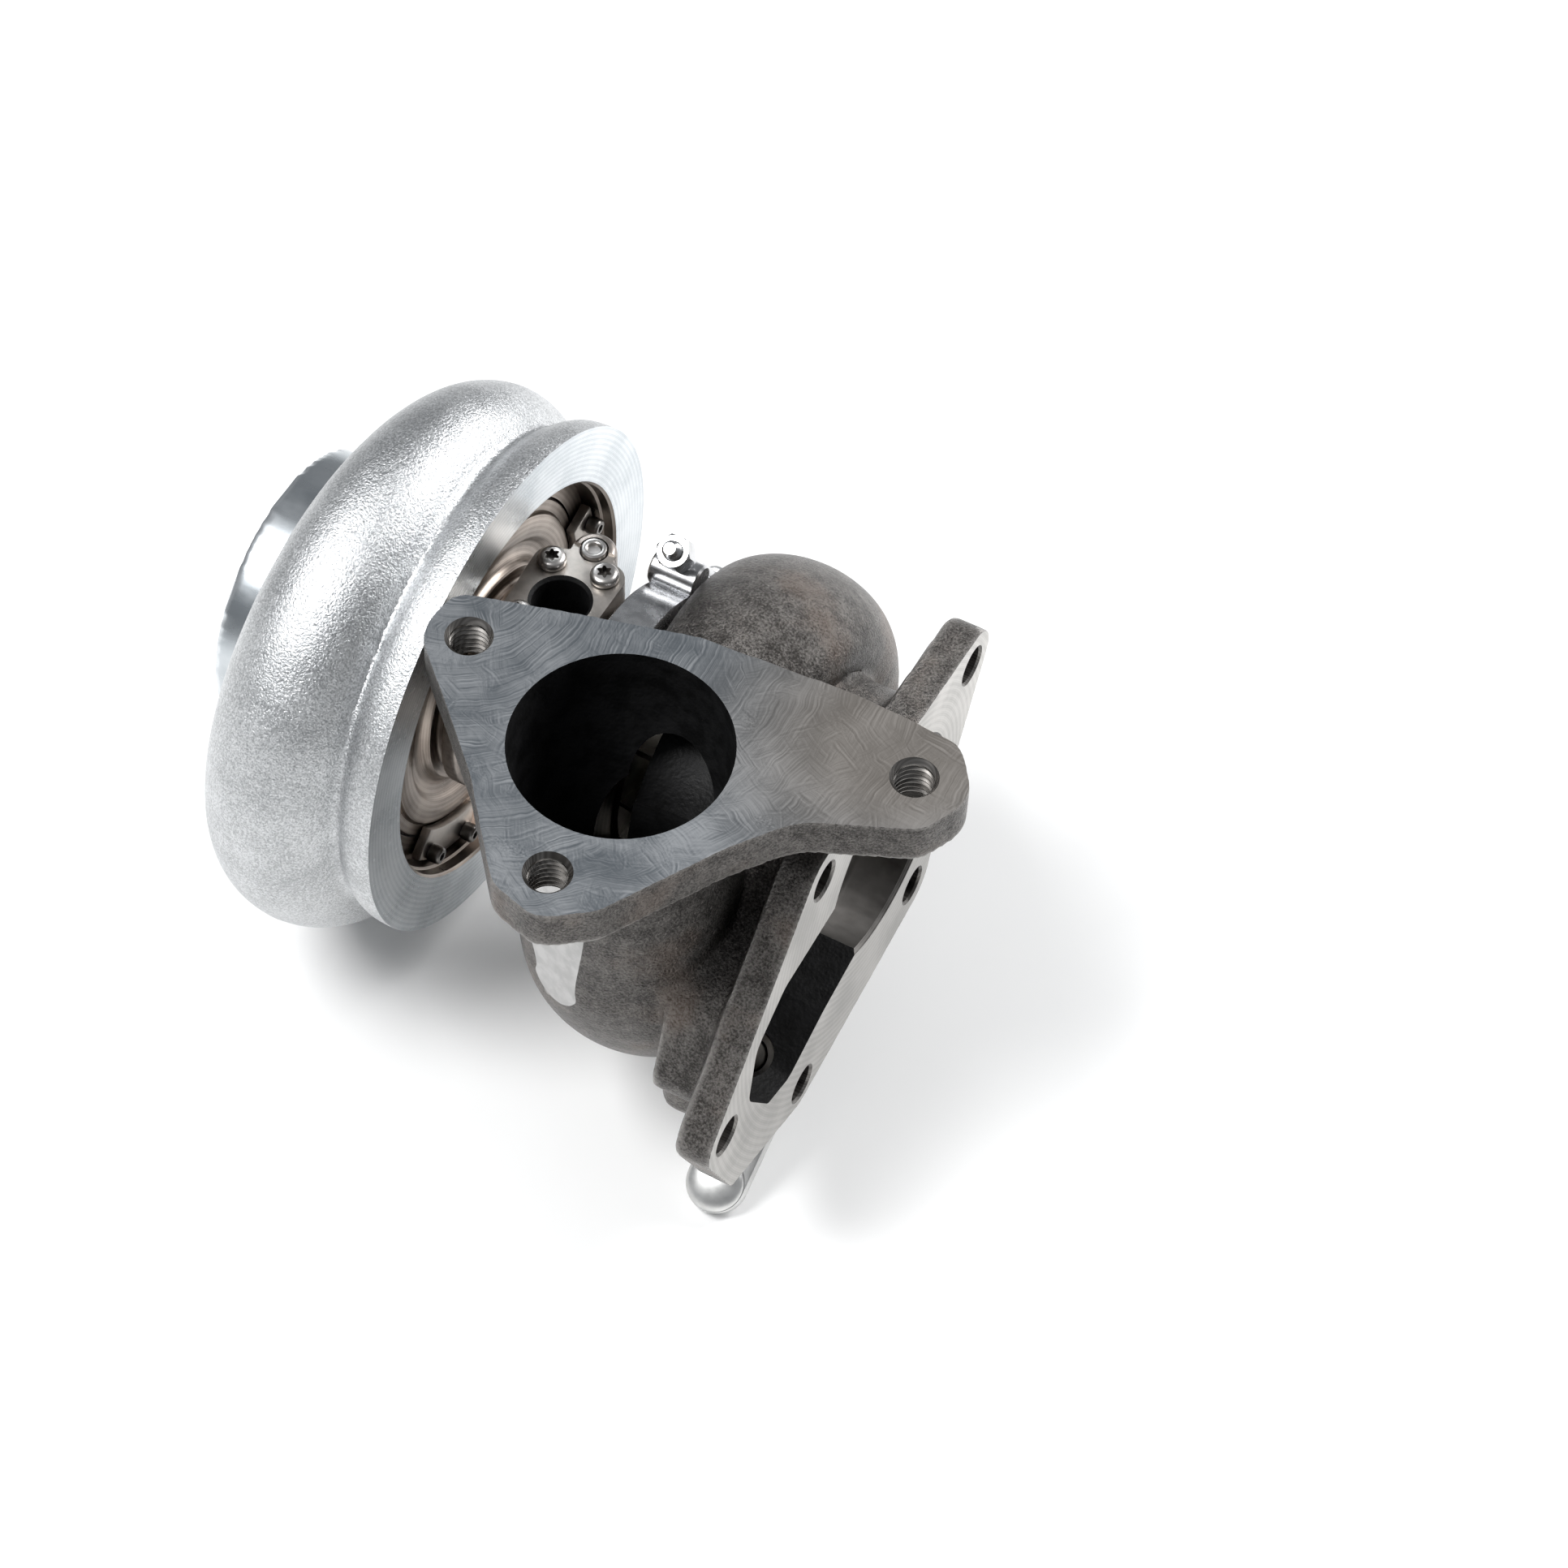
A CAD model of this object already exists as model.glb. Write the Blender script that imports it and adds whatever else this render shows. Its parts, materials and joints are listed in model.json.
# %% [markdown]
# # A turbocharger on a pale bench
# A turbocharger is two fans on one shaft. Exhaust gas spins the iron side, and the
# aluminium side pumps air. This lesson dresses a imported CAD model: the sizes and the
# joints come from the model, and every casting, bolt and finish is made again here at
# the quality a close-up needs.

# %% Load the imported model
import json
import math

import bpy
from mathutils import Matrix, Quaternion, Vector

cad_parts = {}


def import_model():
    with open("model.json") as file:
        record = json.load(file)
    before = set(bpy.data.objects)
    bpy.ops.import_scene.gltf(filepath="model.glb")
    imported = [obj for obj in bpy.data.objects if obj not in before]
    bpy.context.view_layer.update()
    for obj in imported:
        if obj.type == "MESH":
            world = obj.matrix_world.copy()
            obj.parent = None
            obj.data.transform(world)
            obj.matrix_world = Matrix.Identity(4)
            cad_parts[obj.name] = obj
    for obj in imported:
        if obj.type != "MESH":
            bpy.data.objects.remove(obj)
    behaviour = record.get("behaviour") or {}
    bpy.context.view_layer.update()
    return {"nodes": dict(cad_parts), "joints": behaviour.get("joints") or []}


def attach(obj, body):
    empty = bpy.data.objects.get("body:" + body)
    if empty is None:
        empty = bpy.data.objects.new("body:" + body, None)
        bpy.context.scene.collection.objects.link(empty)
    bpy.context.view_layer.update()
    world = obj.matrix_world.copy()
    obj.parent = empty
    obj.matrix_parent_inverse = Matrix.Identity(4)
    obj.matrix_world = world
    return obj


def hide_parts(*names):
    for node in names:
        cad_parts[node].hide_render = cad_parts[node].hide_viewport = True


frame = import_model()
nodes = frame["nodes"]

# %% [markdown]
# The drawing of a turbocharger is dimensioned from the shaft, so lengths here are in
# millimetres from the point where the shaft meets the joint between the two housings.
# The shaft joint gives that point, and the wastegate joint gives the two directions
# that the slanted outlet flange is drawn in: `along` runs up the flange and `across`
# runs over it.

# %% The drawing frame
MM = 0.001
MERGE = 0.002 * MM
joints = {joint["name"]: joint for joint in frame["joints"]}
ORIGIN = Vector(joints["rotor_spin"]["pos_m"])
X = Vector((1, 0, 0))
Y = Vector((0, 1, 0))
Z = Vector((0, 0, 1))
ACROSS = -Vector(joints["wastegate_swing"]["axis"]).normalized()
ALONG = ACROSS.cross(X).normalized()
spindle = (Vector(joints["wastegate_swing"]["pos_m"]) - ORIGIN) / MM
SPINDLE = (spindle.x, spindle.dot(ALONG))
print("spindle at", [round(v, 1) for v in SPINDLE])


def on_flange(along, across, x=0.0):
    """A point of the drawing from the slanted flange's two directions."""
    return X * x + ALONG * along + ACROSS * across


def world(point):
    """The place in the scene of a point of the drawing."""
    return ORIGIN + Vector(point) * MM


def side_of(axis):
    """A direction square to an axis."""
    helper = Z if abs(axis.z) < 0.9 else Y
    return helper.cross(axis).normalized()


# %% [markdown]
# Operators act on whatever is selected, so each piece starts by clearing the selection.
# A finished piece keeps its place in its mesh and its object at the origin, as a CAD
# node does, so that patterns in Object coordinates stay put.

# %% Small workshop habits
def clear():
    """Back to object mode with nothing selected."""
    if bpy.context.mode != "OBJECT":
        bpy.ops.object.mode_set(mode="OBJECT")
    bpy.ops.object.select_all(action="DESELECT")


def pick(*pieces):
    """Select some pieces, the last one active."""
    clear()
    for piece in pieces:
        piece.select_set(True)
        bpy.context.view_layer.objects.active = piece


def settle(name, finish=None):
    """Name the active piece, put its place into its mesh and give it a finish."""
    if bpy.context.mode != "OBJECT":
        bpy.ops.object.mode_set(mode="OBJECT")
    piece = bpy.context.active_object
    bpy.ops.object.transform_apply(location=True, rotation=True, scale=True)
    piece.name = name
    piece.data.name = name
    piece.data.materials.clear()
    if finish:
        piece.data.materials.append(finish)
    return piece


def close_up():
    """In edit mode: merge what coincides and turn every face outwards."""
    bpy.ops.mesh.select_all(action="SELECT")
    bpy.ops.mesh.remove_doubles(threshold=MERGE)
    bpy.ops.mesh.normals_make_consistent(inside=False)


def apply(piece, kind, **settings):
    """Add one modifier, set it and apply it."""
    pick(piece)
    modifier = piece.modifiers.new(kind.title(), kind)
    for setting, value in settings.items():
        setattr(modifier, setting, value)
    bpy.ops.object.modifier_apply(modifier=modifier.name)
    return piece


def soften(piece, angle=35):
    """Smooth shading that keeps the machined edges crisp."""
    pick(piece)
    bpy.ops.object.shade_smooth_by_angle(angle=math.radians(angle))
    return piece


# %% [markdown]
# Most of a turbocharger is turned on a lathe. A turned piece is half a section drawn
# point by point, each point extruded from the last, and then spun about its axis. The
# drawing gives each point as its distance along the axis and its radius.

# %% Turned pieces
def draw(points):
    """Extrude one vertex from point to point, in edit mode, and weld the ends if they meet."""
    clear()
    bpy.ops.mesh.primitive_plane_add(size=0.001, location=points[0])
    bpy.ops.object.mode_set(mode="EDIT")
    bpy.ops.mesh.merge(type="CENTER")
    for here, there in zip(points, points[1:]):
        bpy.ops.mesh.extrude_vertices_move(TRANSFORM_OT_translate={"value": there - here})
    bpy.ops.mesh.select_all(action="SELECT")
    bpy.ops.mesh.remove_doubles(threshold=MERGE)


def turned(name, section, finish=None, centre=(0, 0, 0), axis=X, steps=96, angle=360.0, start=0.0):
    """Spin a section of (distance along the axis, radius) about the axis."""
    out = side_of(axis)
    out.rotate(Quaternion(axis, math.radians(start)))
    points = [world(Vector(centre) + axis * along + out * radius) for along, radius in section]
    reaches_axis = section[0][1] == 0 and section[-1][1] == 0
    draw(points if reaches_axis else points + points[:1])
    if angle < 360.0:
        bpy.ops.mesh.edge_face_add()
    bpy.ops.mesh.spin(steps=steps, angle=math.radians(angle), center=world(centre), axis=axis)
    close_up()
    return settle(name, finish)


def rod(name, low, high, radius, finish=None, **settings):
    """A plain round bar from `low` to `high` along its axis, mostly for drilling."""
    section = [(low, 0), (low, radius), (high, radius), (high, 0)]
    return turned(name, section, finish, **settings)


def ring_of(middle, radius, sides=12):
    """The section of a round ring, as points on a circle."""
    turns = [2 * math.pi * k / sides for k in range(sides)]
    return [(middle[0] + radius * math.cos(t), middle[1] + radius * math.sin(t)) for t in turns]


def thread(low, high, outer, depth, pitch=1.25):
    """Points along a thread, crest and root in turn, for a bolt or a tapped hole."""
    count = int((high - low) / pitch)
    points = []
    for k in range(count):
        points.append((low + pitch * k, outer - depth))
        points.append((low + pitch * (k + 0.3), outer))
        points.append((low + pitch * (k + 0.5), outer))
        points.append((low + pitch * (k + 0.85), outer - depth))
    return points

# %% [markdown]
# Flanges, levers and nuts are flat outlines with a thickness. The outline is drawn in
# two directions, filled, and extruded along a third. Round ends come from wrapping a
# tight band round circles, which is how such plates are drawn on paper too.

# %% Flat plates
def band_round(circles, sides=48):
    """Outline of a band pulled tight round (x, y, radius) circles."""
    dots = []
    for x, y, radius in circles:
        for k in range(sides):
            t = 2 * math.pi * k / sides
            dots.append((x + radius * math.cos(t), y + radius * math.sin(t)))
    dots.sort()
    halves = []
    for row in (dots, dots[::-1]):
        chain = []
        for p in row:
            while len(chain) > 1 and turn_of(chain[-2], chain[-1], p) <= 0.0001:
                chain.pop()
            chain.append(p)
        halves += chain[:-1]
    return halves


def turn_of(a, b, c):
    """Positive where the path a, b, c turns left."""
    return (b[0] - a[0]) * (c[1] - a[1]) - (b[1] - a[1]) * (c[0] - a[0])


def ease_corners(points, radii, steps=7):
    """Round each corner of an outline with a curve that meets both sides."""
    eased = []
    count = len(points)
    for k in range(count):
        corner, before, after = (Vector(points[i % count]).to_2d() for i in (k, k - 1, k + 1))
        to_before, to_after = before - corner, after - corner
        half = to_before.angle(to_after) / 2
        back = min(radii[k] / math.tan(half), 0.49 * to_before.length, 0.49 * to_after.length)
        start = corner + to_before.normalized() * back
        end = corner + to_after.normalized() * back
        for i in range(steps + 1):
            t = i / steps
            eased.append(tuple((1 - t) ** 2 * start + 2 * t * (1 - t) * corner + t * t * end))
    return eased


def plate(name, outline, corner, right, up, depth, finish=None, edge=0.0):
    """Fill an outline, extrude it along a vector and break its edges."""
    points = [world(Vector(corner) + right * x + up * y) for x, y in outline]
    draw(points + points[:1])
    bpy.ops.mesh.edge_face_add()
    bpy.ops.mesh.extrude_region_move(TRANSFORM_OT_translate={"value": Vector(depth) * MM})
    close_up()
    made = settle(name, finish)
    if edge:
        apply(made, "BEVEL", width=edge * MM, segments=2, limit_method="ANGLE",
              angle_limit=math.radians(50))
    return made


# %% [markdown]
# Scrolls, ducts and blades have no plain section. Each starts as a disc extruded into a
# straight tube with the right number of rings, and a rule then says where every ring
# and every point round it belongs. The tube is closed at both ends, so it can be
# joined to a casting or cut out of one.

# %% Tubes that follow a rule
def ruled_tube(name, rule, rings=72, sides=32, finish=None):
    """Extrude a disc ring by ring, then move each point to rule(share of length, turn)."""
    clear()
    bpy.ops.mesh.primitive_circle_add(vertices=sides, radius=1, fill_type="NGON")
    bpy.ops.object.mode_set(mode="EDIT")
    for _ in range(rings):
        bpy.ops.mesh.extrude_region_move(TRANSFORM_OT_translate={"value": (0, 0, 1)})
    bpy.ops.object.mode_set(mode="OBJECT")
    piece = bpy.context.active_object
    for point in piece.data.vertices:
        x, y, z = point.co
        point.co = world(rule(round(z) / rings, math.atan2(y, x)))
    bpy.ops.object.mode_set(mode="EDIT")
    close_up()
    return settle(name, finish)


# %% [markdown]
# A casting has no sharp inside corners, because sand and metal round them. The raw
# shapes are joined, remeshed into one skin of small even squares, and smoothed, which
# rounds every join like a pattern maker's fillet. The machining follows: Booleans cut
# the true faces and bores, and each cutter leaves its own finish on what it cut.

# %% Casting and machining
def cast(name, shapes, finish, grain=1.0, smoothing=8):
    """Melt overlapping shapes into one skin."""
    pick(*shapes)
    bpy.ops.object.join()
    casting = settle(name, finish)
    apply(casting, "REMESH", mode="VOXEL", voxel_size=grain * MM)
    apply(casting, "SMOOTH", factor=0.5, iterations=smoothing)
    return casting


def machine(piece, *cutters, operation="DIFFERENCE"):
    """Cut the piece and leave each cutter's finish on the new faces."""
    for cutter in cutters:
        before = len(piece.data.polygons)
        apply(piece, "BOOLEAN", operation=operation, solver="MANIFOLD", object=cutter,
              material_mode="TRANSFER")
        print(f"{cutter.name}: {before} to {len(piece.data.polygons)} faces")
        bpy.data.objects.remove(cutter)
    return piece


def dress(piece, body, *replaced, slot=None):
    """Crisp shading, the body it rides on and the CAD nodes it stands for."""
    soften(piece)
    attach(piece, body)
    if replaced:
        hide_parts(*replaced)
    print(piece.name, len(piece.data.polygons), "faces")
    return piece


# %% [markdown]
# Finishes are wired in nodes. `Wire` wraps one output so that sums can be written as
# sums, and `Finish` holds the material: one method adds any other node. What is the
# same all over the surface is set on the shader itself.

# %% Finishes as expressions
class Wire:
    """One output in a finish; + - * on wires and numbers add Math nodes."""

    def __init__(self, finish, socket):
        self.finish = finish
        self.socket = socket

    def sum_up(self, operation, first, second):
        settings = {"operation": operation}
        return self.finish.node("ShaderNodeMath", settings, {0: first, 1: second})

    def __add__(self, other):
        return self.sum_up("ADD", self, other)

    def __radd__(self, other):
        return self.sum_up("ADD", other, self)

    def __sub__(self, other):
        return self.sum_up("SUBTRACT", self, other)

    def __rsub__(self, other):
        return self.sum_up("SUBTRACT", other, self)

    def __mul__(self, other):
        return self.sum_up("MULTIPLY", self, other)

    def __rmul__(self, other):
        return self.sum_up("MULTIPLY", other, self)


class Finish:
    """A material on the bench."""

    def __init__(self, name, colour, metallic, roughness):
        self.material = bpy.data.materials.new(name)
        self.material.use_nodes = True
        self.tree = self.material.node_tree
        self.shader = self.tree.nodes["Principled BSDF"]
        self.set("Base Color", (*colour, 1.0))
        self.set("Metallic", metallic)
        self.set("Roughness", roughness)
        self.place = self.node("ShaderNodeTexCoord", output="Object")

    def set(self, socket, value):
        """Set or link one of the shader's sockets."""
        self.connect(self.shader.inputs[socket], value)

    def connect(self, socket, value):
        if isinstance(value, Wire):
            self.tree.links.new(value.socket, socket)
        else:
            socket.default_value = value

    def node(self, kind, settings=None, inputs=None, output=0):
        """Add a node: its settings first, then the values or wires of its sockets."""
        made = self.tree.nodes.new(kind)
        for setting, value in (settings or {}).items():
            setattr(made, setting, value)
        for socket, value in (inputs or {}).items():
            self.connect(made.inputs[socket], value)
        return Wire(self, made.outputs[output])

    def noise(self, size, detail=3.0, rough=0.5, at=None, warp=0.0):
        """Soft noise whose blobs are about `size` mm across, from 0 to 1."""
        sockets = {"Vector": at or self.place, "Scale": 1.0 / (size * MM), "Detail": detail,
                   "Roughness": rough, "Distortion": warp}
        return self.node("ShaderNodeTexNoise", None, sockets)

    def cells(self, size):
        """Small cells about `size` mm across; the wire is the distance to a cell's middle."""
        return self.node("ShaderNodeTexVoronoi", None, {"Vector": self.place,
                                                        "Scale": 1.0 / (size * MM)})

    def about(self, centre, stretch=(1, 1, 1)):
        """Object coordinates measured from a point of the drawing, and stretched."""
        moved = self.node("ShaderNodeVectorMath", {"operation": "SUBTRACT"},
                          {0: self.place, 1: world(centre)})
        return self.node("ShaderNodeMapping", None, {"Vector": moved, "Scale": stretch})

    def distance(self, centre):
        """Distance in metres from a point of the drawing."""
        return self.node("ShaderNodeVectorMath", {"operation": "LENGTH"},
                         {0: self.about(centre)}, output="Value")

    def circles(self, pitch, waver):
        """Tool marks in circles round the shaft, `pitch` mm apart, from 0 to 1."""
        settings = {"wave_type": "RINGS", "rings_direction": "X", "wave_profile": "SIN"}
        scale = 2 * math.pi / (20 * pitch * MM)
        sockets = {"Vector": self.about((0, 0, 0)), "Scale": scale, "Distortion": waver,
                   "Detail": 2.0, "Detail Scale": 0.6}
        return self.node("ShaderNodeTexWave", settings, sockets)

    def between(self, wire, low, high):
        """0 below `low`, 1 above `high`, smooth in between."""
        settings = {"interpolation_type": "SMOOTHSTEP"}
        return self.node("ShaderNodeMapRange", settings,
                         {"Value": wire, "From Min": low, "From Max": high})

    def blend(self, mask, first, second):
        """One colour where the mask is 0, another where it is 1."""
        first = first if isinstance(first, Wire) else (*first, 1.0)
        second = second if isinstance(second, Wire) else (*second, 1.0)
        return self.node("ShaderNodeMix", {"data_type": "RGBA"},
                         {0: mask, 6: first, 7: second}, output=2)

    def edges(self, low=0.5, high=0.6):
        """1 on outside edges and 0 on flats, from how pointed the mesh is."""
        pointed = self.node("ShaderNodeNewGeometry", output="Pointiness")
        return self.between(pointed, low, high)

    def relief(self, height, depth):
        """Raise and sink the surface by up to `depth` mm."""
        self.set("Normal", self.node("ShaderNodeBump", None, {
            "Height": height, "Distance": depth * MM, "Strength": 1.0}))


# %% [markdown]
# The aluminium side is sand cast and then blasted with shot: a pale, slightly blue
# grey that sparkles, with tiny dimples all over and a few deeper pits. Two sizes of
# noise and one of cells give it that skin.

# %% Cast aluminium
def blasted_aluminium():
    skin = Finish("blasted cast aluminium", (0.6, 0.61, 0.62), 1.0, 0.42)
    shot = skin.noise(0.45, detail=2.0, rough=0.6)
    speckle = skin.noise(0.9, detail=3.0, rough=0.8)
    cloud = skin.noise(11.0, detail=3.0)
    dimples = skin.cells(0.8)
    lit = shot * 0.45 + speckle * 0.35 + cloud * 0.2
    skin.set("Base Color", skin.blend(skin.between(lit, 0.36, 0.64), (0.36, 0.37, 0.38),
                                      (0.72, 0.73, 0.74)))
    skin.set("Roughness", 0.30 + shot * 0.2)
    skin.relief(shot * 0.8 + speckle * 0.8 + dimples * 0.5, 0.16)
    return skin.material


# %% [markdown]
# Where a tool has passed, the metal is bright and carries fine circles round the
# shaft. The circles vary in depth, and the whole face has a faint cloudiness from
# handling. The backplate and the bearing housing have the same marks in a warmer
# steel, darkened by assembly oil.

# %% Turned metal
def turned_metal(name, dark, light, roughness, pitch=0.35, depth=0.006):
    metal = Finish(name, light, 1.0, roughness)
    marks = metal.circles(pitch, waver=0.6)
    finer = metal.circles(pitch * 3.7, waver=0.4)
    cloud = metal.noise(14.0, detail=4.0)
    wipes = metal.noise(2.2, detail=2.0, at=metal.about((0, 0, 0), (0.3, 1, 1)))
    tone = marks * 0.12 + finer * 0.13 + cloud * 0.75
    metal.set("Base Color", metal.blend(metal.between(tone, 0.3, 0.7), dark, light))
    metal.set("Roughness", roughness + (cloud + wipes - 1.0) * 0.12 + marks * 0.03)
    metal.relief(marks * 0.6 + finer * 0.4, depth)
    return metal.material


# %% [markdown]
# The sealing face of the inlet flange was rubbed flat with a sanding disc by hand. It
# left bundles of shallow arcs that swirl about several centres. Each bundle is noise
# along the distance from a centre, which draws uneven circles, and soft patches of
# wider noise decide which bundle shows where.

# %% Sanded face
def sanded_face():
    face = Finish("sanded iron", (0.42, 0.44, 0.46), 1.0, 0.3)
    waver = face.noise(9.0, detail=2.0) * 0.004
    swirl = face.noise(0.5, detail=3.0)
    for centre in ((2, -88, 60), (58, -46, 60), (14, 12, 60), (90, 30, 60), (-30, -20, 60)):
        arcs = face.node("ShaderNodeTexNoise", {"noise_dimensions": "1D"}, {
            "W": face.distance(centre) + waver, "Scale": 1.0 / (0.6 * MM), "Detail": 4.0,
            "Roughness": 0.65})
        clumps = face.noise(10.0, detail=3.0, at=face.about(centre), warp=1.0)
        patch = face.between(clumps, 0.38, 0.66)
        swirl = arcs * patch + swirl * (1.0 - patch)
    cloud = face.noise(18.0, detail=4.0, rough=0.6)
    warm = 1.0 - face.between(face.distance((76, -12, 60)), 0.012, 0.055)
    tone = face.between(swirl * 0.5 + cloud * 0.5, 0.38, 0.62)
    steel = face.blend(tone, (0.25, 0.275, 0.30), (0.55, 0.57, 0.59))
    face.set("Base Color", face.blend(warm * 0.6, steel, (0.42, 0.35, 0.28)))
    face.set("Roughness", 0.22 + cloud * 0.12 + swirl * 0.16)
    face.relief(swirl, 0.008)
    return face.material


# %% [markdown]
# Exhaust side castings are ductile iron: dark, rough from the sand, a little brown
# where it has begun to rust, and lighter where edges have rubbed.

# %% Cast iron
RUST = 0.22


def cast_iron():
    iron = Finish("cast iron", (0.12, 0.11, 0.10), 1.0, 0.42)
    sand = iron.noise(0.55, detail=4.0, rough=0.7)
    lumps = iron.noise(3.5, detail=3.0)
    cloud = iron.noise(20.0, detail=3.0)
    pits = iron.between(iron.cells(1.3), 0.05, 0.5)
    stain = iron.between(cloud * 0.8 + sand * 0.2, 0.5, 0.66) * RUST
    bare = iron.blend(iron.between(sand * 0.6 + lumps * 0.2 + cloud * 0.2, 0.38, 0.64),
                      (0.036, 0.033, 0.031), (0.205, 0.193, 0.182))
    rusty = iron.blend(stain, bare, (0.17, 0.10, 0.062))
    rubbed = iron.edges(0.505, 0.56)
    iron.set("Base Color", iron.blend(rubbed * 0.5, rusty, (0.5, 0.48, 0.46)))
    iron.set("Roughness", 0.24 + sand * 0.16 + cloud * 0.1 - rubbed * 0.08)
    iron.relief(sand * 1.0 + lumps * 0.5 + pits * 0.3, 0.42)
    return iron.material


# %% [markdown]
# Bright fasteners and the clamp are plated steel: nearly a mirror, with faint rolling
# lines and small rub marks.

# %% Plated and plain steels
def plated(name, colour, roughness, grain=0.35, metallic=1.0, depth=0.01, dirt=0.25, gloss=0.5):
    steel = Finish(name, colour, metallic, roughness)
    steel.set("Specular IOR Level", gloss)
    fine = steel.noise(grain, detail=3.0)
    smear = steel.noise(5.0, detail=4.0, rough=0.6)
    dark = tuple(channel * (1.0 - dirt) for channel in colour)
    steel.set("Base Color", steel.blend(steel.between(smear, 0.35, 0.65), dark, colour))
    steel.set("Roughness", roughness * 0.7 + smear * roughness * 0.6 + fine * 0.05)
    steel.relief(fine * 0.6 + smear * 0.4, depth)
    return steel.material


BLASTED = blasted_aluminium()
TURNED = turned_metal("turned aluminium", (0.44, 0.475, 0.50), (0.68, 0.705, 0.725),
                      0.28, depth=0.003)
BACKPLATE = turned_metal("oiled steel plate", (0.17, 0.14, 0.12), (0.36, 0.31, 0.27),
                         0.3, depth=0.003)
HOUSING = plated("warm steel casting", (0.38, 0.34, 0.31), 0.4, grain=0.7, depth=0.06, dirt=0.3)
HOUSING_CUT = plated("housing cut faces", (0.50, 0.465, 0.43),
                     0.36, grain=0.5, depth=0.02, dirt=0.2)
IRON = cast_iron()
SOOT = plated("sooty iron bore", (0.007, 0.007, 0.0075), 0.55, grain=0.9, metallic=0.0, depth=0.3,
              dirt=0.6, gloss=0.25)
LAND = plated("ground iron", (0.50, 0.495, 0.49), 0.3, grain=0.5, depth=0.02, dirt=0.22)
SATIN = plated("satin nickel plating", (0.66, 0.66, 0.65), 0.36, grain=0.5, depth=0.015, dirt=0.12)
SANDED = sanded_face()
OUTLET_FACE = turned_metal("milled outlet face", (0.33, 0.32, 0.305), (0.50, 0.485, 0.465), 0.34,
                           pitch=0.5, depth=0.001)
BORE = turned_metal("turned iron bore", (0.07, 0.065, 0.06), (0.22, 0.21, 0.20), 0.34, pitch=0.6,
                    depth=0.02)
CHROME = plated("bright plating", (0.55, 0.555, 0.565), 0.24, depth=0.006, dirt=0.25)
STEEL = plated("plain steel", (0.56, 0.54, 0.52), 0.32)
DARK_STEEL = plated("oiled dark steel", (0.20, 0.19, 0.18), 0.32)
NICKEL = plated("heat resisting alloy", (0.36, 0.34, 0.31), 0.36, grain=0.6, depth=0.03)
BRONZE = turned_metal("bearing bronze", (0.52, 0.36, 0.15), (0.80, 0.60, 0.30), 0.24)
RUBBER = plated("black rubber", (0.022, 0.022, 0.023), 0.55, metallic=0.0, grain=0.9)
WHEEL = turned_metal("machined wheel", (0.62, 0.64, 0.66), (0.84, 0.85, 0.87), 0.2, pitch=0.5,
                     depth=0.012)

# %% [markdown]
# The compressor cover is a ring with a snail of growing round passage wrapped round it
# and an outlet pipe leaving at a tangent. The raw ring is left longer than the real one, as
# castings are, so that there is metal for the lathe to take off. The seam where the
# two halves of the sand mould met runs along the crest of the snail.

# %% Compressor cover casting
RING_R = 64.0
RING_X = -30.0
INLET_END_X = -90.0
WALL = 4.3
OUTLET_Y = 72.0
SNAIL_RIGHT = -43.5
PASSAGE = 17.0


def snail(extra, start):
    """The rule of the round passage, `extra` mm outside its bore."""
    def rule(share, turn):
        f = start + (1.0 - start) * share
        radius = PASSAGE * math.sqrt(f)
        middle = 58.0 + 19.0 * f - 4.5 - radius
        swing = math.radians(-90 + 360 * f)
        out = middle + (radius + extra) * math.sin(turn)
        return (SNAIL_RIGHT - radius + (radius + extra) * math.cos(turn),
                out * math.cos(swing), out * math.sin(swing))
    return rule


def snail_seam(share, turn):
    """A thin bead along the crest of the snail."""
    f = 0.09 + 0.88 * share
    radius = PASSAGE * math.sqrt(f)
    swing = math.radians(-90 + 360 * f)
    out = 58.0 + 19.0 * f - 4.5 + WALL - 0.6 + 0.75 * math.sin(turn)
    x = SNAIL_RIGHT - radius + 0.9 * math.cos(turn)
    return x, out * math.cos(swing), out * math.sin(swing)


outlet_axis = (SNAIL_RIGHT - PASSAGE, 0, -55.5)
cover = cast("compressor_cover_casting", [
    turned("raw_ring", [
        (INLET_END_X + 0.2, 0), (INLET_END_X + 0.2, 34.7), (-69, 34.7), (-64, 45), (-50, 51.0),
        (-46.5, 53.2), (-44.0, 55.4), (-41.8, 58.2), (-39.8, 60.8), (-37.4, 62.8),
        (-34.6, 63.8), (-32.0, RING_R), (RING_X + 1.6, RING_R), (RING_X + 1.6, 0)], steps=144),
    ruled_tube("raw_snail", snail(WALL, 0.085), rings=144, sides=48),
    ruled_tube("seam", snail_seam, rings=144, sides=8),
    rod("raw_outlet", -3, OUTLET_Y + 0.5, 21.1, centre=outlet_axis, axis=Y, steps=64),
], BLASTED, grain=1.0, smoothing=5)

# %% [markdown]
# The lathe makes the ring true, opens it for the backplate, and bores the throat that
# the wheel runs in. One turned cutter does all of it: its section runs along the axis,
# out past the inlet end, and across the face of the ring.

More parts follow.
